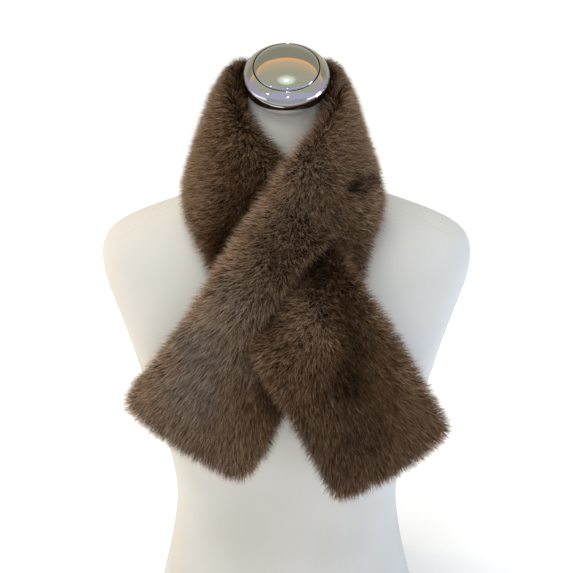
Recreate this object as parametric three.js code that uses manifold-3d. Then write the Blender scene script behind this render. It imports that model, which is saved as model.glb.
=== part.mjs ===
// Pull-through fur collar wrap, worn on a limbless dress form with a chrome neck cap.
// Millimetres, +Z up. The front of the form faces -Y, and the viewer's right is +X.
// The origin is the centre of the form's flat base.
import * as THREE from 'three';
import { mergeVertices } from 'three/addons/utils/BufferGeometryUtils.js';
import Module from 'manifold-3d';

const wasm = await Module();
wasm.setup();

// Gaps at the seams and between pressed faces, and the shortest edge kept
const SEAM_GAP = 0.3;
const PRESS_GAP = 0.6;
const SLIVER = 0.05;
const SHARED_CORNER = 1e-3;

// The fur's thickness and how its edges round: across the band as a share of
// its width, and at the tails' ends and corners
const HALF_THICKNESS = 12;
const EDGE_ROUND = 0.1;
const TAIL_END_ROUND = 11;
const TAIL_CORNER = 18;
const TAIL_CORNER_INSET = 0.2;

// The band's width, the usual distance between the tables' rows, and the
// spacing of the rows and columns of the solids
const BAND_WIDTH = 135;
const TABLE_STEP = 46;
const ROW_STEP = 10;
const PANEL_COLUMNS = 4;

// The form's section, the number of its sides and rings, and its leaning neck
const FORM_POWER = 2.3;
const FORM_SIDES = 40;
const FORM_RING_STEP = 18;
const NECK_LEAN = THREE.MathUtils.degToRad(32);
const NECK_ROOT_HEIGHT = 486;
const CAP_SIDES = 36;

// The form, from its flat base to the top of its neck: height, half width at
// the sides, depth to the front and depth to the back
const FORM_ROWS = [
  { z: 0, side: 146, front: 98, back: 98 },
  { z: 60, side: 132, front: 90, back: 86 },
  { z: 115, side: 124, front: 83, back: 71 },
  { z: 160, side: 126, front: 87, back: 73 },
  { z: 220, side: 139, front: 99, back: 83 },
  { z: 276, side: 156, front: 111, back: 92 },
  { z: 315, side: 166, front: 114, back: 97 },
  { z: 352, side: 178, front: 108, back: 100 },
  { z: 388, side: 190, front: 95, back: 99 },
  { z: 415, side: 193, front: 83, back: 92 },
  { z: 430, side: 189, front: 75, back: 85 },
  { z: 440, side: 177, front: 68, back: 78 },
  { z: 450, side: 156, front: 60, back: 70 },
  { z: 459, side: 132, front: 54, back: 63 },
  { z: 468, side: 107, front: 50, back: 57 },
  { z: 477, side: 84, front: 48, back: 51 },
  { z: 486, side: 64, front: 47, back: 46 },
  { z: 500, side: 50, front: 46, back: 41 },
  { z: 520, side: 44, front: 45, back: 37 },
  { z: 550, side: 40, front: 44, back: 33 },
  { z: 585, side: 38, front: 33, back: 30 },
];

// The cap's outline from its seat to its top: radius and height
const CAP_OUTLINE = [
  [36, 0], [39.2, 2.4], [41.8, 6.8], [43, 12], [42.6, 16], [40.8, 20], [37.6, 23.6], [33.6, 26.1],
  [32.6, 26.6], [28, 29.6], [21, 32.4], [13, 34.2], [5, 35],
];

// The band crosses the form in rows. Each has the places of the band's upper
// edge, of the line that the slit lies on, and of its lower edge, and half of
// its thickness with the fur. These two, from the middle of the back towards
// the viewer's right, are mirrored on the left
const NECK_ROWS = [
  { upper: [0, 44, 606], fold: [0, 68, 536], lower: [0, 80, 470], half: 12 },
  { upper: [33, 36, 607], fold: [52, 52, 538], lower: [64, 62, 472], half: 12 },
];

// On round the viewer's right side of the neck, across and down to the left tail
const OVER_ROWS = [
  { upper: [45, 8, 607], fold: [63, 8, 543], lower: [84, 8, 483], half: 12 },
  { upper: [41, -34, 578], fold: [67, -38, 526], lower: [88, -26, 477], half: 12 },
  { upper: [0, -84, 536], fold: [62, -64, 498], lower: [93, -42, 470], half: 11 },
  { upper: [-16, -82, 508], fold: [47, -84, 456], lower: [83, -72, 444], half: 11 },
  { upper: [-38, -86, 474], fold: [24, -97, 433], lower: [66, -100, 396], half: 10.5 },
  { upper: [-62, -103, 441], fold: [-1, -112, 406], lower: [44, -116, 362], half: 10.5 },
  { upper: [-85, -112, 409], fold: [-27, -129, 375], lower: [22, -124, 326], half: 11 },
  { upper: [-113, -110, 364], fold: [-54, -131, 328], lower: [-1, -127, 284], half: 12 },
  { upper: [-140, -110, 327], fold: [-83, -124, 285], lower: [-18, -127, 239], half: 12 },
  { upper: [-167, -112, 290], fold: [-113, -121, 245], lower: [-44, -124, 201], half: 12 },
];

// On round the viewer's left side of the neck, under the other half, through
// its slit and down to the right tail
const UNDER_ROWS = [
  { upper: [-48, 8, 608], fold: [-71, 8, 543], lower: [-85, 8, 483], half: 12 },
  { upper: [-42, -32, 576], fold: [-79, -32, 520], lower: [-95, -20, 474], half: 12 },
  { upper: [0, -60, 530], fold: [-52, -66, 488], lower: [-94, -62, 454], half: 11 },
  { upper: [24, -60, 488], fold: [-28, -74, 457], lower: [-78, -86, 426], half: 10 },
  { upper: [39, -66, 462], fold: [-6, -96, 419], lower: [-53, -111, 374], half: 10 },
  { upper: [57, -102, 443], fold: [13, -126, 404], lower: [-32, -139, 354], half: 10.5 },
  { upper: [83, -116, 406], fold: [34, -144, 374], lower: [-18, -153, 329], half: 12 },
  { upper: [109, -112, 362], fold: [56, -144, 331], lower: [2, -156, 291], half: 12 },
  { upper: [138, -113, 313], fold: [84, -132, 276], lower: [23, -147, 243], half: 12 },
  { upper: [169, -116, 262], fold: [115, -124, 218], lower: [47, -138, 187], half: 12 },
];

// Where the pieces meet along the rows, and where the slit lies
const SIDE_SEAM = NECK_ROWS.length;
const UNDER_SEAM = 6.5;
const SLIT = {
  start: 4.95,
  end: 8.35,
  across: 0.55,
  bowPower: 0.6,
  upperLip: { lift: 14, spread: 2 },
  lowerLip: { lift: -9, spread: -12 },
};

// The soft valleys in the outer face: each runs from one row and place across
// to another, and has a width and a depth in millimetres
const OVER_FOLDS = [
  { from: [3.4, 0.6], to: [5, 0.58], width: 13, depth: 4.5 },
  { from: [4.15, 0.7], to: [4.3, 0.97], width: 8, depth: 5 },
  { from: [8.4, 0.75], to: [10.2, 0.7], width: 22, depth: 2.5 },
];
const UNDER_FOLDS = [
  { from: [7.2, 0.3], to: [9.6, 0.36], width: 20, depth: 5 },
  { from: [8.2, 0.83], to: [9.3, 0.8], width: 16, depth: 2.5 },
  { from: [3.6, 0.45], to: [4.8, 0.3], width: 24, depth: 2.5 },
];
const BACK_FOLDS = [
  { from: [2.2, 0.35], to: [3.1, 0.62], width: 22, depth: 3 },
  { from: [4.1, 0.3], to: [4.9, 0.55], width: 20, depth: 2.5 },
];

const furMaterial = () => new THREE.MeshStandardMaterial({ color: '#4a3a2c', roughness: 0.95 });
const linenMaterial = () => new THREE.MeshStandardMaterial({ color: '#dfddd0', roughness: 0.9 });
const chromeMaterial = () => new THREE.MeshStandardMaterial({
  color: '#c9cdd2', roughness: 0.12, metalness: 1 });

// A closed mesh from loose triangles that share their corners' places. The
// triangles that an edge's shared corners leave empty are dropped
function closedMesh(name, places, material) {
  const loose = new THREE.BufferGeometry();
  loose.setAttribute('position', new THREE.Float32BufferAttribute(places, 3));
  const geometry = mergeVertices(loose, SHARED_CORNER);
  const corners = geometry.index.array;
  const kept = [];
  for (let i = 0; i < corners.length; i += 3) {
    const [a, b, c] = corners.subarray(i, i + 3);
    if (a !== b && b !== c && c !== a) kept.push(a, b, c);
  }
  geometry.setIndex(kept);
  geometry.computeVertexNormals();
  const mesh = new THREE.Mesh(geometry, material);
  mesh.name = name;
  return mesh;
}

function addTriangle(places, a, b, c) {
  places.push(...a.toArray(), ...b.toArray(), ...c.toArray());
}

function addQuad(places, a, b, c, d, forward) {
  addTriangle(places, a, forward ? b : c, forward ? c : b);
  addTriangle(places, a, forward ? c : d, forward ? d : c);
}

// One half of the band as three curves along it
function makeStrand(rows) {
  const along = (key) => new THREE.CatmullRomCurve3(
    rows.map((row) => new THREE.Vector3(...row[key])), false, 'centripetal');
  return {
    last: rows.length - 1,
    upper: along('upper'),
    fold: along('fold'),
    lower: along('lower'),
    half: new THREE.SplineCurve(rows.map((row, i) => new THREE.Vector2(i, row.half))),
  };
}

// A place on the band's middle surface, on the parabola through the row's
// upper edge, slit line and lower edge. The shift moves the slit line
function middlePlace(strand, row, across, shift) {
  const t = THREE.MathUtils.clamp(row / strand.last, 0, 1);
  const f = SLIT.across;
  return new THREE.Vector3()
    .addScaledVector(strand.upper.getPoint(t), (across - f) * (across - 1) / f)
    .addScaledVector(strand.fold.getPoint(t).add(shift), across * (across - 1) / (f * (f - 1)))
    .addScaledVector(strand.lower.getPoint(t), across * (across - f) / (1 - f));
}

// The directions on the middle surface: along, across, and out of its face
function middleFrame(strand, row, across, shift) {
  const d = 0.03;
  const at = (r, a) => middlePlace(strand, r, a, shift);
  const along = at(Math.min(row + d, strand.last), across).sub(at(Math.max(row - d, 0), across));
  const over = at(row, Math.min(across + d, 1)).sub(at(row, Math.max(across - d, 0)));
  const out = along.clone().cross(over).multiplyScalar(strand.turn).normalize();
  return { along: along.normalize(), over: over.normalize(), out };
}

// Roundness of an edge: 0 at the edge, 1 from its reach inwards
function roundness(distance, reach) {
  const q = THREE.MathUtils.clamp(1 - distance / reach, 0, 1);
  return Math.sqrt(1 - q * q);
}

// How deep the outer face's valleys are at one place
function valleyDepth(strand, row, across) {
  return strand.folds.reduce((depth, fold) => {
    const mm = ([r, a]) => new THREE.Vector2(r * TABLE_STEP, a * BAND_WIDTH);
    const [start, end, here] = [fold.from, fold.to, [row, across]].map(mm);
    const line = end.clone().sub(start);
    const q = THREE.MathUtils.clamp(here.clone().sub(start).dot(line) / line.lengthSq(), 0, 1);
    const away = here.distanceTo(start.addScaledVector(line, q)) / fold.width;
    const fade = 1 - 0.5 * Math.abs(2 * q - 1);
    return depth + fold.depth * fade * Math.exp(-4 * away * away);
  }, 0);
}

const EDGE_STEPS = [0, 0.12, 0.45, 1];

// Places across a panel, closer together at its rounded edges
function panelPlaces(from, to, columns) {
  const start = EDGE_STEPS.map((q) => from + q * EDGE_ROUND);
  const end = EDGE_STEPS.map((q) => to - q * EDGE_ROUND).reverse();
  const inner = to - from - 2 * EDGE_ROUND;
  const between = Array.from({ length: columns }, (_, i) => (
    from + EDGE_ROUND + inner * (i + 1) / (columns + 1)));
  return [...start, ...between, ...end];
}

// Rows along a piece about ROW_STEP apart, and closer at a rounded tail end
function pieceRows(strand, from, to, tail) {
  const rows = [];
  const samples = 400;
  let length = ROW_STEP;
  let before = strand.fold.getPoint(from / strand.last);
  for (let i = 0; i < samples; i += 1) {
    const row = from + (to - from) * i / samples;
    const place = strand.fold.getPoint(row / strand.last);
    length += place.distanceTo(before);
    before = place;
    if (length >= ROW_STEP) {
      rows.push(row);
      length = 0;
    }
  }
  const rowLength = strand.fold.getPoint((to - 0.2) / strand.last)
    .distanceTo(strand.fold.getPoint(to / strand.last)) / 0.2;
  const ends = tail ? [...EDGE_STEPS].reverse().map((q) => to - q * TAIL_END_ROUND / rowLength) : [to];
  const kept = rows.filter((row) => row < ends[0] - 0.4 * ROW_STEP / rowLength);
  return { rows: [...kept, ...ends], rowLength };
}

// One piece of the band, as a closed solid between two rows. Where the slit
// is open its column of places is doubled into two lips
function bandPiece(name, strand, from, to, { tail = false, slit = null } = {}) {
  const { rows, rowLength } = pieceRows(strand, from, to, tail);
  const mainPlaces = panelPlaces(0, SLIT.across, PANEL_COLUMNS);
  const strapPlaces = panelPlaces(SLIT.across, 1, PANEL_COLUMNS - 1);
  const columns = slit ? [mainPlaces, strapPlaces] : [panelPlaces(0, 1, 2 * PANEL_COLUMNS)];
  const isOpen = (row) => slit !== null && row > slit.start && row < slit.end;
  const place = (row, across, panel, side) => {
    const open = isOpen(row);
    const lip = panel === 0 ? SLIT.upperLip : SLIT.lowerLip;
    const shift = new THREE.Vector3();
    if (open) {
      const bow = Math.sin(Math.PI * (row - slit.start) / (slit.end - slit.start)) ** slit.bowPower;
      const frame = middleFrame(strand, row, SLIT.across, shift);
      shift.addScaledVector(frame.out, lip.lift * bow);
      shift.addScaledVector(frame.over, -lip.spread * bow);
    }
    let half = strand.half.getPoint(row / strand.last).y;
    let a = across;
    if (tail) {
      const toEnd = (to - row) * rowLength;
      const corner = roundness(toEnd, TAIL_CORNER);
      a = 0.5 + (across - 0.5) * (1 - TAIL_CORNER_INSET * (1 - corner));
      half *= roundness(toEnd, TAIL_END_ROUND);
    }
    if (side > 0) half *= 1 - valleyDepth(strand, row, across) / HALF_THICKNESS;
    half *= roundness(across, EDGE_ROUND) * roundness(1 - across, EDGE_ROUND);
    if (open) half *= roundness(Math.abs(across - SLIT.across), EDGE_ROUND);
    const { out } = middleFrame(strand, row, a, shift);
    return middlePlace(strand, row, a, shift).addScaledVector(out, side * half);
  };
  const places = [];
  const forward = strand.turn > 0;
  columns.forEach((panelColumns, panel) => {
    const grid = rows.map((row) => panelColumns.map((across) => ({
      out: place(row, across, panel, 1), back: place(row, across, panel, -1) })));
    for (let j = 0; j + 1 < panelColumns.length; j += 1) {
      for (let i = 0; i + 1 < rows.length; i += 1) {
        const [p, q, r, s] = [grid[i][j], grid[i + 1][j], grid[i + 1][j + 1], grid[i][j + 1]];
        addQuad(places, p.out, q.out, r.out, s.out, forward);
        addQuad(places, p.back, q.back, r.back, s.back, !forward);
      }
      const first = grid[0];
      const last = grid[rows.length - 1];
      addQuad(places, first[j].back, first[j].out, first[j + 1].out, first[j + 1].back, forward);
      addQuad(places, last[j].back, last[j].out, last[j + 1].out, last[j + 1].back, !forward);
    }
    // The walls at the slit's two ends
    const lipColumn = panel === 0 ? panelColumns.length - 1 : 0;
    for (let i = 0; slit && i + 1 < rows.length; i += 1) {
      const here = grid[i][lipColumn];
      const next = grid[i + 1][lipColumn];
      const opens = !isOpen(rows[i]) && isOpen(rows[i + 1]);
      const closes = isOpen(rows[i]) && !isOpen(rows[i + 1]);
      const wallForward = forward === (panel === 0);
      if (opens) addQuad(places, here.back, here.out, next.out, next.back, wallForward);
      if (closes) addQuad(places, next.back, next.out, here.out, here.back, !wallForward);
    }
  });
  return closedMesh(name, places, furMaterial());
}

// The form's measures at any height between its rows
function formCurves() {
  const along = (key) => new THREE.CatmullRomCurve3(
    FORM_ROWS.map((row) => new THREE.Vector3(row.z, row[key], 0)), false, 'centripetal');
  return { side: along('side'), front: along('front'), back: along('back') };
}

// The dress form: a turned profile whose rings are set to the form's sections
function formTorso() {
  const curves = formCurves();
  const outline = [new THREE.Vector2(0, 0)];
  const last = FORM_ROWS.length - 1;
  for (let i = 0; i < last; i += 1) {
    const steps = Math.max(1, Math.round((FORM_ROWS[i + 1].z - FORM_ROWS[i].z) / FORM_RING_STEP));
    for (let k = 0; k < steps; k += 1) outline.push(new THREE.Vector2(1, i + k / steps));
  }
  outline.push(new THREE.Vector2(1, last), new THREE.Vector2(0, last));
  const geometry = new THREE.LatheGeometry(outline.reverse(), FORM_SIDES);
  const place = geometry.getAttribute('position');
  for (let i = 0; i < place.count; i += 1) {
    const radius = Math.hypot(place.getX(i), place.getZ(i));
    const angle = Math.atan2(place.getZ(i), place.getX(i));
    const at = (curve) => curve.getPoint(place.getY(i) / last);
    const side = at(curves.side);
    const depth = at(Math.sin(angle) < 0 ? curves.front : curves.back).y;
    const swell = (value) => Math.sign(value) * Math.abs(value) ** (2 / FORM_POWER);
    const x = radius * side.y * swell(Math.cos(angle));
    const y = radius * depth * swell(Math.sin(angle));
    const lean = THREE.MathUtils.smoothstep(side.x, NECK_ROOT_HEIGHT, NECK_TOP.z);
    const z = side.x + lean * (y - NECK_TOP.y) * Math.tan(NECK_LEAN);
    place.setXYZ(i, x, y, z);
  }
  return closedMesh('form_torso', looseTriangles(geometry), linenMaterial());
}

// A geometry's corners, triangle by triangle, without the empty ones
function looseTriangles(geometry) {
  const places = [];
  const flat = geometry.index ? geometry.toNonIndexed() : geometry;
  const place = flat.getAttribute('position');
  const corner = (i) => new THREE.Vector3().fromBufferAttribute(place, i);
  for (let i = 0; i < place.count; i += 3) {
    addTriangle(places, corner(i), corner(i + 1), corner(i + 2));
  }
  return places;
}

const topRow = FORM_ROWS[FORM_ROWS.length - 1];
const NECK_TOP = { y: (topRow.back - topRow.front) / 2, z: topRow.z };

// The chrome cap, seated on the leaning top of the neck
function neckCap() {
  const outline = [[0, 0], ...CAP_OUTLINE, [0, CAP_OUTLINE[CAP_OUTLINE.length - 1][1] + 0.2]];
  const geometry = new THREE.LatheGeometry(outline.map((p) => new THREE.Vector2(...p)), CAP_SIDES);
  geometry.rotateX(Math.PI / 2);
  const mesh = closedMesh('neck_cap', looseTriangles(geometry), chromeMaterial());
  mesh.rotation.x = NECK_LEAN;
  const axis = new THREE.Vector3(0, -Math.sin(NECK_LEAN), Math.cos(NECK_LEAN));
  mesh.position.set(0, NECK_TOP.y, NECK_TOP.z).addScaledVector(axis, SEAM_GAP);
  return mesh;
}

const mirrored = ({ upper, fold, lower, half }) => {
  const flip = ([x, y, z]) => [-x, y, z];
  return { upper: flip(upper), fold: flip(fold), lower: flip(lower), half };
};

function furBand() {
  const leftNeck = NECK_ROWS.map(mirrored);
  const over = { ...makeStrand([...NECK_ROWS, ...OVER_ROWS]), turn: 1, folds: OVER_FOLDS };
  const under = { ...makeStrand([...leftNeck, ...UNDER_ROWS]), turn: -1, folds: UNDER_FOLDS };
  const back = { ...makeStrand([
    OVER_ROWS[1], OVER_ROWS[0], ...[...NECK_ROWS].reverse(), ...leftNeck.slice(1),
    UNDER_ROWS[0], UNDER_ROWS[1]]), turn: -1, folds: BACK_FOLDS };
  const gap = (strand, seam) => (SEAM_GAP / 2) / (strand.fold.getPoint((seam + 0.1) / strand.last)
    .distanceTo(strand.fold.getPoint((seam - 0.1) / strand.last)) / 0.2);
  const sideGap = gap(over, SIDE_SEAM);
  const underGap = gap(under, UNDER_SEAM);
  const overTail = over.last;
  const underTail = under.last;
  return [
    bandPiece('wrap_back', back, 1 + gap(back, 1), back.last - 1 - gap(back, back.last - 1)),
    bandPiece('wrap_front_left', under, SIDE_SEAM + sideGap, UNDER_SEAM - underGap),
    bandPiece('wrap_front_over', over, SIDE_SEAM + sideGap, overTail, { tail: true, slit: SLIT }),
    bandPiece('tail_right', under, UNDER_SEAM + underGap, underTail, { tail: true }),
  ];
}

// A mesh's corners at their places in the part, shared between its triangles,
// and moved out of its surface by the growth
function solidOf(mesh, growth = 0) {
  mesh.updateMatrixWorld(true);
  const geometry = mesh.geometry.clone().applyMatrix4(mesh.matrixWorld);
  const place = geometry.getAttribute('position');
  const normal = geometry.getAttribute('normal');
  const corners = new Float32Array(place.count * 3);
  for (let i = 0; i < place.count; i += 1) {
    const corner = new THREE.Vector3().fromBufferAttribute(place, i);
    corner.addScaledVector(new THREE.Vector3().fromBufferAttribute(normal, i), growth);
    corner.toArray(corners, 3 * i);
  }
  return new wasm.Manifold(new wasm.Mesh({
    numProp: 3, vertProperties: corners, triVerts: Uint32Array.from(geometry.index.array) }));
}

// The fur pressed in by what lies against it: the neighbours, with the gap
// round them, are cut from it, and the largest piece is kept
function pressed(mesh, neighbours) {
  const cut = neighbours.reduce(
    (rest, other) => rest.subtract(solidOf(other, PRESS_GAP)).subtract(solidOf(other)), solidOf(mesh));
  const [largest] = cut.decompose().sort((a, b) => b.volume() - a.volume());
  const { vertProperties, triVerts } = largest.simplify(SLIVER).getMesh();
  const places = [];
  const corner = (i) => new THREE.Vector3(...vertProperties.subarray(3 * i, 3 * i + 3));
  for (let i = 0; i < triVerts.length; i += 3) {
    addTriangle(places, ...[0, 1, 2].map((k) => corner(triVerts[i + k])));
  }
  return closedMesh(mesh.name, places, mesh.material);
}

const torso = formTorso();
const cap = neckCap();
const [back, left, over, tail] = furBand();
const overPressed = pressed(over, [torso, cap]);
const part = new THREE.Group();
part.add(
  torso,
  cap,
  pressed(back, [torso, cap]),
  pressed(left, [torso, overPressed]),
  overPressed,
  pressed(tail, [torso, overPressed]),
);
export default part;
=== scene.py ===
"""Looks of a brown fur collar wrap on a limbless dress form with a chrome neck cap."""

from math import cos, radians, sin

import bmesh
import bpy
import numpy as np
from mathutils import Matrix, Vector
from mathutils.bvhtree import BVHTree
from mathutils.kdtree import KDTree


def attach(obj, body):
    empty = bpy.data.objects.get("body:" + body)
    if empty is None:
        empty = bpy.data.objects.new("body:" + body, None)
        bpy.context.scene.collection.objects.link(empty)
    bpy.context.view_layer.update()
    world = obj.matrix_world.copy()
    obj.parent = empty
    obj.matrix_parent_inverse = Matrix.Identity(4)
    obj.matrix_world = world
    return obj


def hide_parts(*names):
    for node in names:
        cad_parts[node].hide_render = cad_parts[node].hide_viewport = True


MM = 0.001
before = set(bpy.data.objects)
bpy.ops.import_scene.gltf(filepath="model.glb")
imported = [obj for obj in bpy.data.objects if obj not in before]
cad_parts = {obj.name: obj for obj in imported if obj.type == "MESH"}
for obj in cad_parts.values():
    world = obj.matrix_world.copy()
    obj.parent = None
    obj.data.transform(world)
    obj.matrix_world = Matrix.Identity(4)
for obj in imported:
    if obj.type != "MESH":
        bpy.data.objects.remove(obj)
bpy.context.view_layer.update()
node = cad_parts

# The photo's view: the camera looks a little down at the chest of the form
CAMERA_AIM = Vector((0, -70, 398)) * MM
CAMERA_DISTANCE = 1250 * MM
CAMERA_ELEVATION = radians(22)
CAMERA_LENS = 78.53
CAMERA_SENSOR = 36

# The cap's outline from its seat to its top, radius and height, with the
# narrow gap between its rim and its top plate
CAP_RIM = (
    (0, 0), (35, 0), (38, 0.3), (40.4, 1.7), (42.2, 4.6), (43.4, 8.6), (43.9, 12.4), (43.4, 16),
    (41.2, 19.8), (38, 22.9), (35, 25.3), (33.9, 26.1), (33.4, 26.3),
)
CAP_GAP = ((33.2, 25.2), (32.7, 25.1), (32.4, 25.7))
CAP_PLATE = (
    (32.2, 26.6), (31, 27.8), (28, 29.6), (24.5, 31.1), (21, 32.4), (13, 34.2), (6, 34.9), (0, 35.1),
)
CAP_STEPS = 56
CAP_SEAT = Vector((0, -1.7, 585.25)) * MM
CAP_LEAN = radians(32)

# Corners that are nearer to each other than this are one, and edges that are
# sharper than this stay sharp where a form is made rounder
JOINED = 0.002 * MM
SHARP_EDGE = radians(50)

# How deep the fur's skin lies under the solids, how deep where a neighbour
# presses on it and from how far off that begins, the size of its faces, and how
# many times it is smoothed
SKIN_DEPTH = 8 * MM
PRESSED_DEPTH = 2.5 * MM
PRESSED_REACH = 12 * MM
SKIN_GRAIN = 3.2 * MM
SKIN_SMOOTHINGS = 3

# How a stretch's thickness is found, from a little under its face and no
# farther than this, and the share of it that the skin lies deep at most
LOOK_START = 0.2 * MM
LOOK_THROUGH = 40 * MM
MOST_DEPTH = 0.36

# The hairs' length and their width at the root, the spread of both, and the
# width at the middle as a share
HAIR_LENGTH = 12.2 * MM
HAIR_WIDTH = 0.54 * MM
LENGTH_SPREAD = (0.78, 1.12)
WIDTH_SPREAD = (0.7, 1.2)
MIDDLE_WIDTH = 0.85

# The guard hairs' length and width, and how far they are drawn to their tufts, as
# shares of what the other hairs have
GUARD_LENGTH = 1.32
GUARD_WIDTH = 0.7
GUARD_DRAW = 0.5

# The heights in metres between which the hairs get shorter at the collar's top,
# and by what share
TOP_SHORTER = (0.575, 0.6, 0.35)

# The share of a hair under its bend, how far combing bends it under and over that,
# and how far it strays, and its tip beyond that
ROOT_SHARE = 0.45
ROOT_COMB = 0.5
TIP_COMB = 1.5
STRAY = 0.24
TIP_STRAY = 1.4

# How far a guide works, the share of the hairs that lead a tuft and the fewest of
# them, how far the other hairs are drawn to theirs, tips and then middles, and how
# near a neighbour leaves no room for a hair
GUIDE_REACH = 22 * MM
TUFT_SHARE = 0.07
FEWEST_TUFTS = 8
TUFT_DRAW = (0.03, 0.14)
MIDDLE_DRAW = 0.5
HIDDEN_REACH = 3.4 * MM

# The waves that are summed for soft lumps of tone, the spread of their spacing
# and about the highest that their sum gets
LUMP_SPACING = 38 * MM
LUMP_WAVES = 5
LUMP_SPREAD = (0.7, 1.4)
LUMP_PEAK = 3

# A hair's usual tone, how much its lump, its tuft and itself change it, how many
# hairs are bright ones and by how much, the darkest tone, and the share of the
# tone at the root's two corners, the middle's two and the tip
TONE = 0.63
LUMP_TONE = 0.03
TUFT_TONE = 0.1
OWN_TONE = 0.28
BRIGHT_SHARE = 0.14
BRIGHT_GUARD_SHARE = 0.35
BRIGHT_TONE = 0.3
DARKEST_TONE = 0.05
CORNER_TONES = (0.08, 0.08, 0.66, 0.66, 1.2)
# the random spread of the painted sheen's grey from hair to hair
SHEEN_SPREAD = 0.2

# A hair's corners in the order in which its quad and then its triangle use them,
# the place of each face's first, and where they lie in the hair's cell of the map
HAIR_CORNERS = 5
HAIR_LOOPS = (0, 1, 2, 3, 3, 2, 4)
FACE_STARTS = (0, 4)
HAIR_MAP = ((0.3, 0.1), (0.7, 0.1), (0.6, 0.5), (0.4, 0.5), (0.4, 0.5), (0.6, 0.5), (0.5, 0.9))

# How far neighbours shade the fur, how many ways are looked along for them and
# the turn from each to the next, the share of the hairs that is left where it is
# wholly shut in and how fast it grows in the open, and the share of their
# lightness that is left there under the painted shade
SHADE_START = 4 * MM
SHADE_REACH = 40 * MM
SHADE_WAYS = 20
SHADE_TURN = radians(137.5)
KEPT_SHUT_IN = 0.35
KEPT_GROWTH = 2
SHUT_IN_SHADE = 0.1

# The place of the band's seams with the back stretch, how far around them the
# skins are kept straight, how near them the end faces lie and how squarely these
# look along y, and the stretch that has no such seam
SEAM_PLACE = 8 * MM
SEAM_NEAR = 12 * MM
SEAM_FLAT = 2.2 * MM
SEAM_FACING = 0.8
SEAMLESS = "tail_right"

# The width and length that each stretch is cut to, with both faces in the width
# of the two that are open tubes
CUT = {
    "wrap_back": (0.27, 0.2),
    "wrap_front_left": (0.27, 0.21),
    "wrap_front_over": (0.135, 0.415),
    "tail_right": (0.135, 0.245),
}

HAIRS = {
    "wrap_back": 52000,
    "wrap_front_left": 52000,
    "wrap_front_over": 112000,
    "tail_right": 68000,
}
PIECE_HAIRS = 57000
FEWEST_PIECES = 2
ROOTS_TRIED = 2.4
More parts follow.
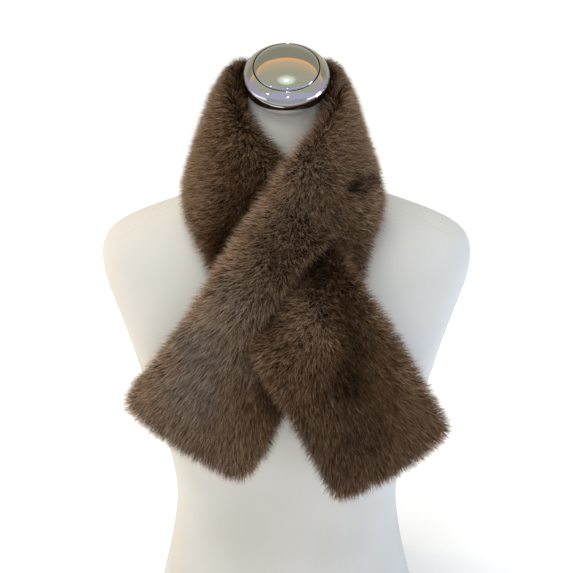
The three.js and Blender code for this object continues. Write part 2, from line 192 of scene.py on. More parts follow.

# The hairs' guides on each stretch: a place on the band in millimetres, the way
# that its hairs are combed there, longer where they lie flatter, how much
# lighter they are than the rest, partly their own tone and partly painted light
# on the lit edges and painted shade by the crossing and in the dark hollows,
# and how much grey of painted sheen they take
FLOW = {
    "wrap_back": [
        ((0, 70, 600), (0.0, 0.1, -0.4), 0, 0.2),
        ((0, 90, 500), (0.0, 0.1, -0.5), 0, 0.2),
        ((80, 40, 590), (0.2, -0.1, -0.4), 0, 0.2),
        ((95, 30, 490), (0.2, -0.1, -0.5), 0, 0.2),
        ((-80, 40, 590), (-0.2, -0.1, -0.4), 0, 0.2),
        ((-95, 30, 490), (-0.2, -0.1, -0.5), 0, 0.2),
    ],
    "wrap_front_left": [
        ((-45, 0, 600), (-0.5, 0.0, -0.3), 0.06, 0),
        ((-65, -10, 570), (-0.3, 0.0, 0.1), 0.16, 0),
        ((-80, -30, 550), (-0.5, 0.0, -0.1), 0.16, 0),
        ((-90, -50, 500), (-0.5, 0.0, -0.15), 0.18, 0),
        ((-85, -70, 475), (-0.5, 0.0, -0.15), 0.16, 0),
        ((-55, -50, 555), (-0.1, 0.0, -0.4), 0.08, 0),
        ((-30, -55, 565), (0.4, 0.0, -0.35), 0.1, 0),
        ((-15, -65, 540), (0.45, 0.0, -0.35), 0.1, 0),
        ((-45, -75, 500), (0.05, 0.0, -0.4), 0.04, 0),
        ((-30, -75, 495), (0.1, 0.0, -0.35), -0.14, 0),
        ((-60, -85, 460), (-0.3, 0.0, -0.3), -0.12, 0),
        ((-75, -85, 455), (-0.5, 0.0, -0.2), 0.08, 0),
        ((-75, -85, 420), (-0.5, 0.0, -0.3), 0, 0),
    ],
    "wrap_front_over": [
        ((45, 0, 600), (0.5, 0.0, -0.3), 0.02, 0.1),
        ((65, -10, 580), (0.3, 0.0, 0.0), 0.06, 0.1),
        ((45, -45, 575), (-0.3, 0.0, -0.1), 0.06, 0.1),
        ((65, -30, 570), (0.4, 0.0, -0.1), 0.06, 0.2),
        ((20, -65, 555), (-0.5, 0.0, 0.0), 0.3, 0),
        ((50, -65, 545), (0.1, 0.0, -0.35), 0.08, 0.2),
        ((75, -50, 535), (0.4, 0.0, -0.25), 0.06, 0.2),
        ((15, -85, 545), (-0.5, 0.0, 0.1), 0.46, 0),
        ((0, -95, 520), (-0.5, 0.0, 0.1), 0.62, 0),
        ((80, -50, 515), (0.4, 0.0, -0.25), 0.12, 0.3),
        ((60, -75, 505), (0.2, 0.0, -0.35), 0.06, 0.2),
        ((15, -95, 505), (-0.2, 0.0, -0.35), 0, 0.2),
        ((-20, -95, 485), (-0.55, 0.0, 0.1), 0.64, 0),
        ((85, -70, 475), (0.4, 0.0, -0.3), 0.1, 0.3),
        ((50, -90, 470), (0.15, 0.0, -0.4), 0.02, 0.2),
        ((20, -100, 475), (-0.1, 0.0, -0.45), -0.02, 0.2),
        ((75, -85, 450), (0.4, 0.0, -0.3), 0, 0.2),
        ((-15, -110, 460), (-0.25, 0.0, -0.45), 0.06, 0.2),
        ((-55, -105, 450), (-0.55, 0.0, 0.1), 0.62, 0),
        ((5, -125, 440), (-0.05, 0.0, -0.5), -0.04, 0.2),
        ((-90, -120, 405), (-0.6, 0.0, 0.05), 0.6, 0),
        ((-55, -135, 410), (-0.4, 0.0, -0.6), 0.14, 0.6),
        ((-125, -120, 345), (-0.65, 0.0, -0.1), 0.48, 0),
        ((-85, -135, 365), (-0.5, 0.0, -0.65), 0.08, 0.9),
        ((-35, -140, 370), (-0.2, 0.0, -0.75), 0.04, 0.4),
        ((-120, -130, 325), (-0.6, 0.0, -0.5), 0.16, 0.6),
        ((-140, -125, 310), (-0.7, 0.0, -0.2), 0.4, 0),
        ((-90, -135, 315), (-0.5, 0.0, -0.65), 0.06, 0.9),
        ((-45, -140, 310), (-0.2, 0.0, -0.75), 0.03, 0.2),
        ((-25, -140, 285), (0.1, 0.0, -0.65), -0.1, 0),
        ((-105, -135, 270), (-0.45, 0.0, -0.7), 0.1, 0.4),
        ((-60, -135, 250), (-0.15, 0.0, -0.75), 0.04, 0.2),
        ((-25, -135, 245), (0.3, 0.0, -0.6), 0.04, 0.1),
        ((-50, -125, 205), (0.0, 0.0, -0.75), 0.02, 0.1),
    ],
    "tail_right": [
        ((30, -120, 435), (0.0, 0.0, -0.4), 0.06, 0),
        ((55, -115, 440), (0.3, 0.0, -0.1), 0.1, 0),
        ((80, -130, 410), (0.45, 0.0, -0.1), 0.1, 0),
        ((60, -135, 410), (0.15, 0.0, -0.45), -0.12, 0),
        ((20, -145, 400), (-0.3, 0.0, -0.4), 0.36, 0.2),
        ((35, -150, 385), (-0.05, 0.0, -0.5), 0.02, 0.1),
        ((-25, -140, 375), (-0.5, 0.0, -0.1), 0.08, 0),
        ((95, -130, 390), (0.55, 0.0, 0.0), 0.1, 0),
        ((70, -145, 365), (0.1, 0.0, -0.5), -0.22, 0),
        ((10, -160, 365), (-0.3, 0.0, -0.35), 0.06, 0),
        ((-20, -160, 345), (-0.45, 0.0, -0.35), 0.04, 0),
        ((0, -165, 340), (-0.3, 0.0, -0.45), -0.02, 0),
        ((50, -150, 355), (0.0, 0.0, -0.5), -0.18, 0),
        ((85, -145, 330), (0.2, 0.0, -0.45), -0.22, 0),
        ((60, -155, 330), (0.05, 0.0, -0.5), -0.34, 0),
        ((120, -130, 335), (0.55, 0.0, -0.1), 0.12, 0),
        ((135, -130, 300), (0.55, 0.0, -0.2), 0.04, 0),
        ((10, -160, 285), (-0.25, 0.0, -0.6), -0.16, 0),
        ((75, -145, 275), (0.15, 0.0, -0.65), -0.34, 0),
        ((145, -130, 255), (0.55, 0.0, -0.4), 0.02, 0),
        ((45, -155, 240), (-0.1, 0.0, -0.75), -0.28, 0),
        ((25, -155, 240), (-0.35, 0.0, -0.6), -0.06, 0.1),
        ((110, -140, 235), (0.3, 0.0, -0.7), -0.16, 0.1),
        ((50, -150, 210), (-0.05, 0.0, -0.75), -0.04, 0.1),
    ],
}

# The soft troughs in each stretch, and its ridges as troughs of less than 0: how
# deep and how wide to each side, both in millimetres, how much darker their hairs
# are painted, as painted shade in the troughs, creases and contact lines and as
# painted light on the ridges where it is less than 0, and the line along the skin
TROUGHS = {
    "wrap_back": [
        (2.5, 24, 0.06, ((-70, 50, 570), (0, 68, 548), (45, 60, 560))),
        (2, 20, 0.06, ((-40, 80, 505), (20, 84, 515), (75, 66, 500))),
        (1.5, 18, 0.04, ((30, 56, 600), (70, 42, 575))),
    ],
    "wrap_front_left": [
        (1.5, 24, 0.04, ((-22, -52, 555), (-40, -66, 510), (-55, -76, 465))),
        (0.5, 14, 0.18, ((-6, -62, 530), (-24, -68, 500), (-45, -76, 470), (-62, -78, 445))),
    ],
    "wrap_front_over": [
        (4, 11, 0.5, ((58, -68, 503), (75, -50, 502), (92, -25, 500))),
        (2, 20, 0.08, ((75, -42, 538), (60, -66, 508), (50, -82, 480), (48, -90, 455))),
        (1, 12, 0.42, ((-30, -130, 362), (-18, -130, 325), (-8, -125, 295), (-6, -118, 262))),
        (-5, 12, -0.1, ((-139, -107, 306), (-140, -106, 297))),
    ],
    "tail_right": [
        (2.5, 30, 0.25, ((34, -112, 432), (50, -128, 412), (62, -138, 370), (58, -148, 335))),
        (-1.5, 16, -0.12, ((14, -136, 402), (28, -142, 385), (38, -144, 368))),
        (1.5, 12, 0.46, (
            (42, -105, 445), (30, -112, 435), (10, -127, 420), (-8, -134, 400), (-20, -134, 380),
        )),
    ],
}

# The seam over the form's shoulder: a line in the frontal plane, as the share of
# each axis in its distance, that distance, its ends across, and the lengths that
# it fades in and out over
SHOULDER_SEAM = (0.477, 0.879, 464.1 * MM)
SHOULDER_ENDS = (128 * MM, 172 * MM)
SHOULDER_FADES = (12 * MM, 8 * MM)

# The double seam up the neck's front: its middle, half its width, where it starts,
# over what length it fades in, and how strong it is beside the shoulder's
NECK_SEAM_ACROSS = 3 * MM
NECK_SEAM_HALF = 1.5 * MM
NECK_ROOT = 486 * MM
NECK_FADE = 10 * MM
NECK_SEAM_SHARE = 0.6

# The seams' half width, how deep and dark they are beside the weave's threads, and
# how much the threads change the cloth's tone
SEAM_THREAD = 0.45 * MM
SEAM_DEPTH = 2.5
SEAM_TONE = 0.2
THREAD_TONE = 0.08

# Surroundings that the chrome mirrors, as shares of the half turn from the wall
# behind the form over the ceiling to the wall before it, each with its colour,
# then the colour of the walls at the sides and between what shares they begin
AIR_BANDS = (
    (0, (0.5, 0.48, 0.38, 1)),
    (0.15, (0.4, 0.39, 0.29, 1)),
    (0.25, (0.27, 0.265, 0.2, 1)),
    (0.385, (0.27, 0.26, 0.19, 1)),
    (0.4, (0.9, 0.5, 0.2, 1)),
    (0.43, (0.6, 0.45, 0.27, 1)),
    (0.52, (0.42, 0.39, 0.27, 1)),
    (0.81, (0.38, 0.385, 0.32, 1)),
    (0.85, (0.42, 0.42, 0.53, 1)),
    (1, (0.4, 0.4, 0.52, 1)),
)
AIR_SIDE = (0.38, 0.36, 0.46, 1)
AIR_SIDE_FADE = (0.8, 0.95)

# The light patch on the ceiling that the cap's plate mirrors
PATCH_HEIGHT = radians(62.6)
PATCH_REACH = radians(17)
PATCH_COLOUR = (0.85, 0.92, 0.78, 1)

# The card before the form: half its width, its cross lines by depth and height, in
# metres, and its colours, the strip at the near end last
CARD_HALF = 2.5
CARD_LINES = ((-0.55, 0.003), (-0.8, 0.003), (-2.4, 0.003), (-2.4, 0.9))
CARD_COLOURS = (("card_grey", (0.42, 0.42, 0.5, 1)), ("card_dark", (0.03, 0.025, 0.02, 1)))

# Half the floor's width in metres, and the even light from above: its power, its
# width as an angle, its colour and the way that it shines
FLOOR_HALF = 30
SKY_POWER = 1.65
SKY_WIDTH = radians(45)
SKY_COLOUR = (0.88, 0.92, 0.98)
SKY_WAY = (0.3, 0.12, -1)

# The lamps: name, place and width in metres, power in watts, colour, and whether
# the chrome mirrors them
LAMPS = (
    ("key", (-1.1, -0.9, 1.3), 0.4, 1.6, (1, 0.88, 0.7), False),
    ("rim_left", (-1.3, 0.35, 0.75), 0.35, 4.5, (1, 0.76, 0.52), False),
    ("window", (1.3, -0.25, 0.45), 0.35, 6, (0.42, 0.62, 0.98), True),
    ("spot", (0.0, -0.96, 2.38), 0.16, 2, (1, 0.99, 0.97), True),
    ("spark", (0.1, -1.9, 1.25), 0.05, 0.4, (1, 1, 1), True),
    ("spark_left", (-1.2, -1.4, 1.3), 0.05, 0.4, (1, 1, 1), True),
)


def new_object(name, mesh):
    made = bpy.data.objects.new(name, mesh)
    bpy.context.scene.collection.objects.link(made)
    return made


def merged_mesh(source):
    """A copy of a CAD node's mesh with its loose triangles joined."""
    bm = bmesh.new()
    bm.from_mesh(source.data)
    bmesh.ops.remove_doubles(bm, verts=bm.verts, dist=JOINED)
    return bm


def finish_mesh(bm, name, smooth=True):
    for face in bm.faces:
        face.smooth = smooth
    mesh = bpy.data.meshes.new(name)
    bm.to_mesh(mesh)
    bm.free()
    return new_object(name, mesh)


def colour(r, g, b):
    """A colour given as the screen's 0 to 255 values."""
    return tuple((c / 255) ** 2.2 for c in (r, g, b)) + (1,)


class Nodes:
    """Short ways to add nodes to a tree."""

    def __init__(self, tree):
        self.tree = tree

    def add(self, kind, **values):
        made = self.tree.nodes.new(kind)
        for key, value in values.items():
            setattr(made, key, value)
        return made

    def link(self, source, target):
        self.tree.links.new(source, target)

    def split(self, place):
        """The three shares of a place, each on its own."""
        made = self.add("ShaderNodeSeparateXYZ")
        self.link(place, made.inputs[0])
        return made.outputs

    def sum(self, operation, *values):
        """The result of one operation on other results or plain numbers."""
        made = self.add("ShaderNodeMath", operation=operation)
        for port, value in zip(made.inputs, values):
            if isinstance(value, bpy.types.NodeSocket):
                self.link(value, port)
            else:
                port.default_value = value
        return made.outputs[0]

    def fade(self, value, start, end):
        """A smooth step from 0 at start to 1 at end."""
        made = self.add("ShaderNodeMapRange", interpolation_type="SMOOTHSTEP")
        made.inputs["From Min"].default_value = start
        made.inputs["From Max"].default_value = end
        self.link(value, made.inputs["Value"])
        return made.outputs["Result"]

    def ramp(self, value, stops):
        """Colours along a value, each stop a place and a colour."""
        made = self.add("ShaderNodeValToRGB")
        elements = made.color_ramp.elements
        while len(elements) < len(stops):
            elements.new(0.5)
        for element, (at, rgb) in zip(elements, stops):
            element.position = at
            element.color = rgb
        self.link(value, made.inputs["Fac"])
        return made.outputs["Color"]

    def plain(self, rgb):
        made = self.add("ShaderNodeRGB")
        made.outputs[0].default_value = rgb
        return made.outputs[0]

    def blend(self, share, first, second):
        """The first colour where the share is 0, and the second where it is 1."""
        made = self.add("ShaderNodeMixRGB")
        for source, port in zip((share, first, second), made.inputs):
            self.link(source, port)
        return made.outputs["Color"]


class Shader(Nodes):
    """A material with one Principled shader."""

    def __init__(self, name):
        self.material = bpy.data.materials.new(name)
        self.material.use_nodes = True
        super().__init__(self.material.node_tree)
        self.surface = self.tree.nodes["Principled BSDF"]

    def set(self, **values):
        for key, value in values.items():
            self.surface.inputs[key.replace("_", " ")].default_value = value


def seam_lines(s, across, depth, height):
    """1 on the form's sewn lines, over the shoulders and up the neck's front."""
    wide = s.sum("ABSOLUTE", across)
    along_x, along_z, far = SHOULDER_SEAM
    off = s.sum("ADD", s.sum("MULTIPLY", wide, along_x), s.sum("MULTIPLY", height, along_z))
    off = s.sum("ABSOLUTE", s.sum("SUBTRACT", off, far))
    start, end = SHOULDER_ENDS
    fade_in, fade_out = SHOULDER_FADES
    shoulder = s.sum("MULTIPLY", s.fade(off, SEAM_THREAD, 0), s.fade(wide, start, start + fade_in))
    shoulder = s.sum("MULTIPLY", shoulder, s.fade(wide, end, end - fade_out))
    twin = s.sum("ABSOLUTE", s.sum("SUBTRACT", across, NECK_SEAM_ACROSS))
    twin = s.sum("ABSOLUTE", s.sum("SUBTRACT", twin, NECK_SEAM_HALF))
    neck = s.sum("MULTIPLY", s.fade(twin, SEAM_THREAD, 0), s.fade(depth, 0, -NECK_FADE))
    neck = s.sum("MULTIPLY", neck, s.fade(height, NECK_ROOT, NECK_ROOT + NECK_FADE))
    return s.sum("MAXIMUM", shoulder, s.sum("MULTIPLY", neck, NECK_SEAM_SHARE))


def linen_material():
    """Fine off-white weave with the form's seams."""
    s = Shader("linen_cover")
    s.set(Roughness=0.85, Specular_IOR_Level=0.25, Sheen_Weight=0.12)
    place = s.add("ShaderNodeTexCoord").outputs["Object"]
    threads = []
    for axis in "XZ":
        wave = s.add("ShaderNodeTexWave", bands_direction=axis)
        wave.inputs["Scale"].default_value = 130
        wave.inputs["Distortion"].default_value = 2
        wave.inputs["Detail"].default_value = 1
        s.link(place, wave.inputs["Vector"])
        threads.append(wave.outputs["Fac"])
    seams = seam_lines(s, *s.split(place))
    weave = s.sum("SUBTRACT", s.sum("ADD", *threads), s.sum("MULTIPLY", seams, SEAM_DEPTH))
    bump = s.add("ShaderNodeBump")
    bump.inputs["Strength"].default_value = 0.16
    bump.inputs["Distance"].default_value = 0.25 * MM
    s.link(weave, bump.inputs["Height"])
    s.link(bump.outputs["Normal"], s.surface.inputs["Normal"])
    blotch = s.add("ShaderNodeTexNoise")
    blotch.inputs["Scale"].default_value = 9
    s.link(place, blotch.inputs["Vector"])
    tone = s.sum("ADD", blotch.outputs["Fac"], s.sum("MULTIPLY", s.sum("ADD", *threads), THREAD_TONE))
    tone = s.sum("SUBTRACT", tone, s.sum("MULTIPLY", seams, SEAM_TONE))
    cloth = s.ramp(tone, (
        (0, colour(140, 137, 130)), (0.3, colour(209, 206, 197)), (0.75, colour(222, 220, 213)),
    ))
    s.link(cloth, s.surface.inputs["Base Color"])
    return s.material


def chrome_material():
    """Polished plate with the faint unevenness of a pressed shell."""
    s = Shader("cap_chrome")
    s.set(Base_Color=colour(236, 236, 238), Metallic=1, Roughness=0.035)
    place = s.add("ShaderNodeTexCoord").outputs["Object"]
    dent = s.add("ShaderNodeTexNoise")
    dent.inputs["Scale"].default_value = 60
    s.link(place, dent.inputs["Vector"])
    bump = s.add("ShaderNodeBump")
    bump.inputs["Strength"].default_value = 0.08
    bump.inputs["Distance"].default_value = 0.5 * MM
    s.link(dent.outputs["Fac"], bump.inputs["Height"])
    s.link(bump.outputs["Normal"], s.surface.inputs["Normal"])
    return s.material


def gap_shade_material():
    """The dull dark line between the cap's rim and its plate: painted shade in the narrow gap."""
    s = Shader("cap_gap_shade")
    s.set(Base_Color=colour(48, 44, 40), Metallic=1, Roughness=0.5)
    return s.material


def skin_material():
    """The fur's dark backing, with a fine knit grain."""
    s = Shader("fur_skin")
    s.set(Roughness=0.9, Specular_IOR_Level=0.1)
    place = s.add("ShaderNodeTexCoord").outputs["Object"]
    grain = s.add("ShaderNodeTexNoise")
    grain.inputs["Scale"].default_value = 400
    s.link(place, grain.inputs["Vector"])
    s.link(s.ramp(grain.outputs["Fac"], ((0.2, colour(30, 21, 15)), (0.8, colour(52, 38, 28)))),
           s.surface.inputs["Base Color"])
    return s.material


def hair_material():
    """The hairs' colour runs with their shade from root to tip, which also carries painted light and
    shade, in brown or in taupe where the painted sheen greys it.
    """
    s = Shader("fur_hair")
    s.set(Roughness=0.5, Specular_IOR_Level=0.3)
    shade = s.add("ShaderNodeAttribute", attribute_name="shade").outputs["Fac"]
    painted_sheen = s.add("ShaderNodeAttribute", attribute_name="painted_sheen").outputs["Fac"]
    brown = s.ramp(shade, (
        (0, colour(25, 16, 9)), (0.35, colour(87, 61, 40)), (0.65, colour(144, 110, 80)),
        (1, colour(207, 178, 146)),
    ))
    taupe = s.ramp(shade, (
        (0, colour(24, 17, 13)), (0.35, colour(86, 70, 58)), (0.65, colour(146, 130, 116)),
        (1, colour(206, 194, 180)),
    ))
    s.link(s.blend(painted_sheen, brown, taupe), s.surface.inputs["Base Color"])
    return s.material


def smooth_form():
    """The dress form with rounder sides, and its base edge kept sharp."""
    bm = merged_mesh(node["form_torso"])
    crease = bm.edges.layers.float.new("crease_edge")
    for edge in bm.edges:
        if edge.is_manifold and edge.calc_face_angle() > SHARP_EDGE:
            edge[crease] = 1
    form = finish_mesh(bm, "form_cover")
    rounder = form.modifiers.new("rounder", "SUBSURF")
    rounder.levels = rounder.render_levels = 1
    form.data.materials.append(linen_material())
    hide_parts("form_torso")
    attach(form, "root")


def chrome_cap():
    """The cap's shell, spun from its outline and leaned with the neck."""
    bm = bmesh.new()
    outline = CAP_RIM + CAP_GAP + CAP_PLATE
    points = [bm.verts.new((radius * MM, 0, height * MM)) for radius, height in outline]
    edges = [bm.edges.new(pair) for pair in zip(points, points[1:])]
    bmesh.ops.spin(
        bm, geom=points + edges, axis=(0, 0, 1), cent=(0, 0, 0), angle=radians(360),
        steps=CAP_STEPS, use_merge=True,
    )
    bmesh.ops.remove_doubles(bm, verts=bm.verts, dist=JOINED)
    bmesh.ops.recalc_face_normals(bm, faces=bm.faces)
    gap_low = min(height for _, height in CAP_GAP) * MM
    gap_in, gap_out = CAP_GAP[-1][0] * MM, CAP_RIM[-1][0] * MM
    # the faces in the narrow gap take the painted shade
    for face in bm.faces:
        middle = face.calc_center_median()
        in_gap = gap_in < middle.xy.length < gap_out and gap_low < middle.z < CAP_RIM[-1][1] * MM
        face.material_index = 1 if in_gap else 0
    bmesh.ops.transform(bm, verts=bm.verts, matrix=Matrix.Rotation(CAP_LEAN, 4, "X"))
    bmesh.ops.translate(bm, verts=bm.verts, vec=CAP_SEAT)
    cap = finish_mesh(bm, "cap_shell")
    rounder = cap.modifiers.new("rounder", "SUBSURF")
    rounder.levels = rounder.render_levels = 1
    cap.data.materials.append(chrome_material())
    cap.data.materials.append(gap_shade_material())
    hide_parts("neck_cap")
    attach(cap, "root")


def even_mesh(source):
    """The node's form as an even, closed mesh."""
    rough = finish_mesh(merged_mesh(source), "rough")
    remesh = rough.modifiers.new("even", "REMESH")
    remesh.mode = "VOXEL"
    remesh.voxel_size = SKIN_GRAIN
    shaped = rough.evaluated_get(bpy.context.evaluated_depsgraph_get())
    bm = bmesh.new()
    bm.from_mesh(shaped.to_mesh())
    shaped.to_mesh_clear()
    bpy.data.objects.remove(rough)
    return bm


def neighbours(name):
    """The other solids, ready for looking along a way."""
    return [BVHTree.FromBMesh(merged_mesh(node[other])) for other in node if other != name]


def sunken(name, places):
    """How deep the stretch's troughs lower its skin at each place, and how much
    painted shade they put on its hairs, with painted light on the ridges."""
    depth = np.zeros(len(places))
    darker = np.zeros(len(places))
    for deep, wide, dark, line in TROUGHS[name]:
        points = np.array(line) * MM
        apart = np.full(len(places), np.inf)
        for start, end in zip(points, points[1:]):
            way = end - start
            share = np.clip((places - start) @ way / (way @ way), 0, 1)[:, None]
            apart = np.minimum(apart, np.linalg.norm(places - start - share * way, axis=1))
        near = np.clip(1 - apart / (wide * MM), 0, 1)
        near = near * near * (3 - 2 * near)
        depth += deep * MM * near
        # painted shade in troughs, creases and contact lines, painted light on ridges
        darker += dark * near
    return depth, darker


def fur_skin(name):
    """The skin of one stretch, under its fur. It is open at the side seams,
    where the skin of the next stretch goes on from the same plane."""
    bm = even_mesh(node[name])
    at_seam = [
        face for face in bm.faces
        if abs(face.normal.y) > SEAM_FACING
        and abs(face.calc_center_median().y - SEAM_PLACE) < SEAM_FLAT
    ]
    if name != SEAMLESS:
        bmesh.ops.delete(bm, geom=at_seam, context="FACES")
    bm.normal_update()
    tree = BVHTree.FromBMesh(bm)
    others = neighbours(name)
    rim = {vert for edge in bm.edges if edge.is_boundary for vert in edge.verts}
    moves = []
    for vert in bm.verts:
        start = vert.co - vert.normal * LOOK_START
        through = tree.ray_cast(start, -vert.normal, LOOK_THROUGH)[3]
        room = LOOK_THROUGH if through is None else through
        met = [other.ray_cast(vert.co, vert.normal, PRESSED_REACH)[3] for other in others]
        near = min((far for far in met if far is not None), default=PRESSED_REACH)
        depth = PRESSED_DEPTH + (SKIN_DEPTH - PRESSED_DEPTH) * near / PRESSED_REACH
        way = vert.normal.copy()
        if name != SEAMLESS and abs(vert.co.y - SEAM_PLACE) < SEAM_NEAR:
            way.y = 0
            way.normalize()
        moves.append(way * min(depth, MOST_DEPTH * room))
    lowered = np.array([vert.co - move for vert, move in zip(bm.verts, moves)])
    for vert, place, depth in zip(bm.verts, lowered, sunken(name, lowered)[0]):
        vert.co = Vector(place) - vert.normal * depth
    for _ in range(SKIN_SMOOTHINGS):
        bmesh.ops.smooth_vert(
            bm, verts=bm.verts, factor=0.5, use_axis_x=True, use_axis_y=True, use_axis_z=True
        )
    for vert in rim:
        vert.co.y = SEAM_PLACE
    bm.normal_update()
    skin = finish_mesh(bm, name + "_skin")
    skin.data.materials.append(skin_look)
    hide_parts(name)
    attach(skin, "root")
    return skin


def unit(vectors):
    length = np.linalg.norm(vectors, axis=1, keepdims=True)
    return vectors / np.maximum(length, 1e-9)


def openness(places, out):
    """How little each place on the fur is shut in by the solids, from 0 to 1."""
    whole = bmesh.new()
    for solid in node.values():
        whole.from_mesh(solid.data)
    tree = BVHTree.FromBMesh(whole)
    whole.free()
    turn = np.arange(SHADE_WAYS) * SHADE_TURN
    height = 1 - (np.arange(SHADE_WAYS) + 0.5) / SHADE_WAYS
    wide = np.sqrt(1 - height ** 2)
    ball = np.stack([wide * np.cos(turn), wide * np.sin(turn), height], axis=1)
    free = np.empty(len(places))
    for i, (place, way) in enumerate(zip(places, out)):
        start = Vector(place + way * (SKIN_DEPTH + SHADE_START))
        upright = Vector(way).to_track_quat("Z", "Y").to_matrix()
        met = sum(
            tree.ray_cast(start, upright @ Vector(ray), SHADE_REACH)[3] is not None for ray in ball
        )
        free[i] = 1 - met / SHADE_WAYS
    return free


def scatter(skin, count, rng):
    """Places, outward directions and openness of so many hair roots, even over
    a skin."""
    mesh = skin.data
    mesh.calc_loop_triangles()
    corners = np.empty(len(mesh.loop_triangles) * 3, int)
    mesh.loop_triangles.foreach_get("vertices", corners)
    corners = corners.reshape(-1, 3)
    place = np.empty(len(mesh.vertices) * 3)
    mesh.vertices.foreach_get("co", place)
    place = place.reshape(-1, 3)
    normal = np.empty(len(mesh.vertices) * 3)
    mesh.vertices.foreach_get("normal", normal)
    normal = normal.reshape(-1, 3)
    a, b, c = (place[corners[:, k]] for k in range(3))
    area = np.linalg.norm(np.cross(b - a, c - a), axis=1)
    chosen = rng.choice(len(corners), count, p=area / area.sum())
    u, v = rng.random(count), rng.random(count)
    over = u + v > 1
    u[over], v[over] = 1 - u[over], 1 - v[over]
    weight = np.stack([1 - u - v, u, v], axis=1)[:, :, None]
    roots = (place[corners[chosen]] * weight).sum(axis=1)
    out = unit((normal[corners[chosen]] * weight).sum(axis=1))
    free = (openness(place, normal)[corners[chosen]] * weight[:, :, 0]).sum(axis=1)
    return roots, out, free


def in_the_open(name, roots, out):
    """Which roots aren't pressed against another solid."""
    others = neighbours(name)
    open_ones = np.ones(len(roots), bool)
    for i in range(len(roots)):
        start, way = Vector(roots[i]), Vector(out[i])
        if any(tree.ray_cast(start, way, HIDDEN_REACH)[3] for tree in others):
            open_ones[i] = False
    return open_ones


def guided(name, roots, out):
    """The comb of the hairs, their lightness with painted light and shade, and the grey of their
    painted sheen, from the stretch's guides.
    """
    guides = np.array([row[0] for row in FLOW[name]]) * MM
    values = np.array([(*row[1], row[2], row[3]) for row in FLOW[name]], float)
    apart = ((roots[:, None, :] - guides[None]) ** 2).sum(axis=2)
    weight = 1 / (apart + GUIDE_REACH ** 2) ** 2
    value = (weight[:, :, None] * values[None]).sum(axis=1) / weight.sum(axis=1)[:, None]
    flow = value[:, :3]
    flow -= out * (flow * out).sum(axis=1, keepdims=True)
    return flow, value[:, 3], value[:, 4]


def hair_path(coat, length, stray):
    """The middle and tip of hairs that bend over as they are combed."""
    rise = unit(coat["out"] + ROOT_COMB * coat["flow"] + stray)
    bend = unit(coat["out"] + TIP_COMB * coat["flow"] + TIP_STRAY * stray)
    middle = coat["root"] + rise * length * ROOT_SHARE
    return rise, middle, middle + bend * length * (1 - ROOT_SHARE)


def tufts(coat, rng):
    """Each hair's tuft: a nearby hair that it leans to, and the tuft's tone."""
    count = max(FEWEST_TUFTS, int(len(coat["root"]) * TUFT_SHARE))
    centres = rng.choice(len(coat["root"]), count, replace=False)
    tree = KDTree(count)
    for i, at in enumerate(centres):
        tree.insert(Vector(coat["root"][at]), i)
    tree.balance()
    number = np.array([tree.find(Vector(root))[1] for root in coat["root"]])
    _, middle, tip = hair_path(coat, HAIR_LENGTH, 0)
    coat["tuft_middle"] = middle[centres[number]]
    coat["tuft_tip"] = tip[centres[number]]
    coat["tuft_tone"] = rng.random(count)[number] - 0.5


def lumps(places, spacing, rng):
    """A smooth random value around 0 that changes over that spacing."""
    value = np.zeros(len(places))
    for _ in range(LUMP_WAVES):
        way = rng.normal(size=3)
        way *= 2 * np.pi / spacing * rng.uniform(*LUMP_SPREAD) / np.linalg.norm(way)
        value += np.sin(places @ way + rng.uniform(0, 2 * np.pi))
    return value / LUMP_PEAK


def strips(name, coat, rng, guard):
    """A mesh of tapered hairs, each of one quad and one triangle."""
    count = len(coat["root"])

    def each(low, high):
        return rng.uniform(low, high, count)[:, None]

    length = HAIR_LENGTH * each(*LENGTH_SPREAD) * (GUARD_LENGTH if guard else 1)
    top_low, top_high, top_cut = TOP_SHORTER
    length *= 1 - top_cut * np.clip((coat["root"][:, 2:] - top_low) / (top_high - top_low), 0, 1)
    stray = np.cross(coat["out"], rng.normal(0, STRAY, (count, 3)))
    rise, middle, tip = hair_path(coat, length, stray)
    drawn = each(*TUFT_DRAW) * (GUARD_DRAW if guard else 1)
    tip += (coat["tuft_tip"] - tip) * drawn
    middle += (coat["tuft_middle"] - middle) * drawn * MIDDLE_DRAW
    half = unit(np.cross(rise, rng.normal(size=(count, 3)))) * HAIR_WIDTH / 2 * each(*WIDTH_SPREAD)
    half *= GUARD_WIDTH if guard else 1
    root = coat["root"]
    slim = half * MIDDLE_WIDTH
    places = np.stack([root - half, root + half, middle + slim, middle - slim, tip], axis=1)
    # the guides' lightness carries painted light on lit edges and painted shade by the crossing and
    # in the hollows
    tone = TONE + coat["light"] + LUMP_TONE * coat["lump"] + TUFT_TONE * coat["tuft_tone"]
    tone += rng.uniform(-OWN_TONE, OWN_TONE, count)
    bright = BRIGHT_GUARD_SHARE if guard else BRIGHT_SHARE
    tone += np.where(rng.random(count) < bright, BRIGHT_TONE, 0)
    # painted shade: hairs shut in by the neighbouring solids are darker
    tone *= SHUT_IN_SHADE + (1 - SHUT_IN_SHADE) * coat["free"]
    shade = np.maximum(tone, DARKEST_TONE)[:, None] * np.array([CORNER_TONES])
    # painted sheen: grey blended in where flat-lying hair would reflect the sky, spread at random per
    # hair
    painted_sheen = coat["painted_sheen"] + rng.uniform(-SHEEN_SPREAD, SHEEN_SPREAD, count)
    painted_sheen = np.repeat(painted_sheen[:, None], HAIR_CORNERS, axis=1)
    return hair_mesh(name, places, {"shade": shade, "painted_sheen": painted_sheen})


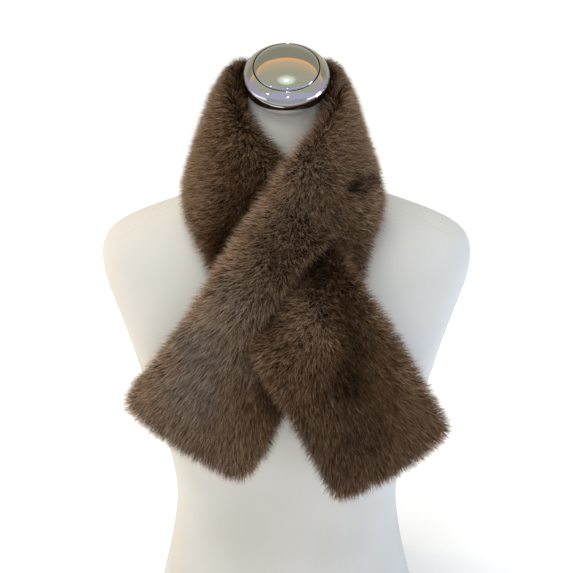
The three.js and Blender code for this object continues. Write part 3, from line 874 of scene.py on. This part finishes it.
def hair_mesh(name, places, values):
    """The mesh of many hairs from their corners, with values at the corners."""
    count = len(places)
    mesh = bpy.data.meshes.new(name)
    mesh.vertices.add(count * HAIR_CORNERS)
    mesh.vertices.foreach_set("co", places.reshape(-1).astype(np.float32))
    number = np.arange(count)[:, None]
    loops = number * HAIR_CORNERS + np.array([HAIR_LOOPS])
    mesh.loops.add(loops.size)
    mesh.loops.foreach_set("vertex_index", loops.reshape(-1).astype(np.int32))
    starts = number * len(HAIR_LOOPS) + np.array([FACE_STARTS])
    mesh.polygons.add(starts.size)
    mesh.polygons.foreach_set("loop_start", starts.reshape(-1).astype(np.int32))
    mesh.update(calc_edges=True)
    for key, value in values.items():
        layer = mesh.attributes.new(key, "FLOAT", "POINT")
        layer.data.foreach_set("value", value.reshape(-1).astype(np.float32))
    cells = int(np.ceil(np.sqrt(count)))
    cell = np.stack([number % cells, number // cells], axis=2)
    uv = (cell + np.array([HAIR_MAP])) / cells
    layer = mesh.uv_layers.new(name="OFBake")
    layer.data.foreach_set("uv", uv.reshape(-1).astype(np.float32))
    mesh.validate()
    return new_object(name, mesh)


def fur(name, skin, rng):
    """All the hairs of one stretch, in pieces of an equal number."""
    total = HAIRS[name] // 1
    roots, out, free = scatter(skin, int(total * ROOTS_TRIED), rng)
    seen = in_the_open(name, roots, out)
    seen &= rng.random(len(free)) < KEPT_SHUT_IN + KEPT_GROWTH * free
    coat = {"root": roots[seen][:total], "out": out[seen][:total], "free": free[seen][:total]}
    # the guides give painted light on lit edges, painted shade by the crossing, and the painted
    # sheen's grey
    coat["flow"], coat["light"], coat["painted_sheen"] = guided(name, coat["root"], coat["out"])
    # painted shade from the troughs, creases and contact lines, painted light on the ridges
    coat["light"] -= sunken(name, coat["root"])[1]
    coat["lump"] = lumps(coat["root"], LUMP_SPACING, rng)
    tufts(coat, rng)
    pieces = []
    number = max(FEWEST_PIECES, round(total / PIECE_HAIRS))
    for k in range(number):
        layer = {key: value[k::number] for key, value in coat.items()}
        piece = strips(f"{name}_fur_{k + 1}", layer, rng, guard=k == number - 1)
        piece.data.materials.append(hair_look)
        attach(piece, "root")
        pieces.append(piece)
    print(name, "hairs", len(coat["root"]), "open share", round(float(seen.mean()), 2))
    return pieces


def studio_air():
    """Surroundings that the chrome mirrors, from the wall behind the form over
    the ceiling to the wall before it, with one soft light patch on the ceiling."""
    world = bpy.data.worlds.new("studio_air")
    world.use_nodes = True
    s = Nodes(world.node_tree)
    way = s.add("ShaderNodeTexCoord").outputs["Generated"]
    x, y, z = s.split(way)
    air = s.ramp(s.sum("DIVIDE", s.sum("ARCTAN2", z, y), radians(180)), AIR_BANDS)
    patch = s.add("ShaderNodeVectorMath", operation="DOT_PRODUCT")
    s.link(way, patch.inputs[0])
    patch.inputs[1].default_value = (0, -cos(PATCH_HEIGHT), sin(PATCH_HEIGHT))
    side = s.fade(s.sum("ABSOLUTE", x), *AIR_SIDE_FADE)
    glow = s.fade(patch.outputs["Value"], cos(PATCH_REACH), 1)
    air = s.blend(side, air, s.plain(AIR_SIDE))
    air = s.blend(glow, air, s.plain(PATCH_COLOUR))
    s.link(air, s.tree.nodes["Background"].inputs["Color"])
    bpy.context.scene.world = world


def front_card():
    """A grey card before the form that only the chrome mirrors: it lies on the
    floor and stands up at its far end, with a darker strip at the near one."""
    bm = bmesh.new()
    rows = [[bm.verts.new((side, y, z)) for side in (-CARD_HALF, CARD_HALF)] for y, z in CARD_LINES]
    for near, far in zip(rows, rows[1:]):
        bm.faces.new((near[0], near[1], far[1], far[0]))
    bm.faces.ensure_lookup_table()
    bm.faces[0].material_index = 1
    card = finish_mesh(bm, "front_card", smooth=False)
    for name, tint in CARD_COLOURS:
        s = Shader(name)
        s.set(Base_Color=tint, Roughness=0.9)
        card.data.materials.append(s.material)
    card.visible_camera = card.visible_diffuse = card.visible_shadow = False


def studio():
    """Pale floor and soft lights, warm from the left and cool from the right."""
    studio_air()
    bm = bmesh.new()
    bmesh.ops.create_grid(bm, x_segments=1, y_segments=1, size=FLOOR_HALF)
    floor = finish_mesh(bm, "studio_floor", smooth=False)
    s = Shader("studio_floor")
    s.set(Base_Color=(0.93, 0.93, 0.93, 1), Roughness=0.9, Specular_IOR_Level=0)
    s.set(Emission_Color=(0.9, 0.95, 1, 1), Emission_Strength=0.26)
    floor.data.materials.append(s.material)
    front_card()
    sky = bpy.data.lights.new("ceiling", "SUN")
    sky.energy = SKY_POWER
    sky.angle = SKY_WIDTH
    sky.color = SKY_COLOUR
    holder = new_object("ceiling", sky)
    holder.rotation_euler = Vector(SKY_WAY).to_track_quat("-Z", "Y").to_euler()
    holder.visible_glossy = False
    for name, place, size, power, tint, mirrored in LAMPS:
        lamp = bpy.data.lights.new(name, "AREA")
        lamp.shape = "DISK"
        lamp.size = size
        lamp.energy = power
        lamp.color = tint
        holder = new_object(name, lamp)
        holder.location = place
        holder.rotation_euler = (CAMERA_AIM - Vector(place)).to_track_quat("-Z", "Y").to_euler()
        holder.visible_glossy = mirrored


def photo_camera():
    camera = bpy.data.cameras.new("photo_camera")
    camera.lens = CAMERA_LENS
    camera.sensor_width = CAMERA_SENSOR
    holder = new_object("photo_camera", camera)
    away = Vector((0, -cos(CAMERA_ELEVATION), sin(CAMERA_ELEVATION)))
    holder.location = CAMERA_AIM + away * CAMERA_DISTANCE
    holder.rotation_euler = (-away).to_track_quat("-Z", "Y").to_euler()
    bpy.context.scene.camera = holder
    bpy.context.scene.view_settings.view_transform = "Standard"


photo_camera()
skin_look = skin_material()
hair_look = hair_material()
smooth_form()
chrome_cap()
rng = np.random.default_rng(7)
for stretch, cut in CUT.items():
    skin = fur_skin(stretch)
    hairs = fur(stretch, skin, rng)
studio()
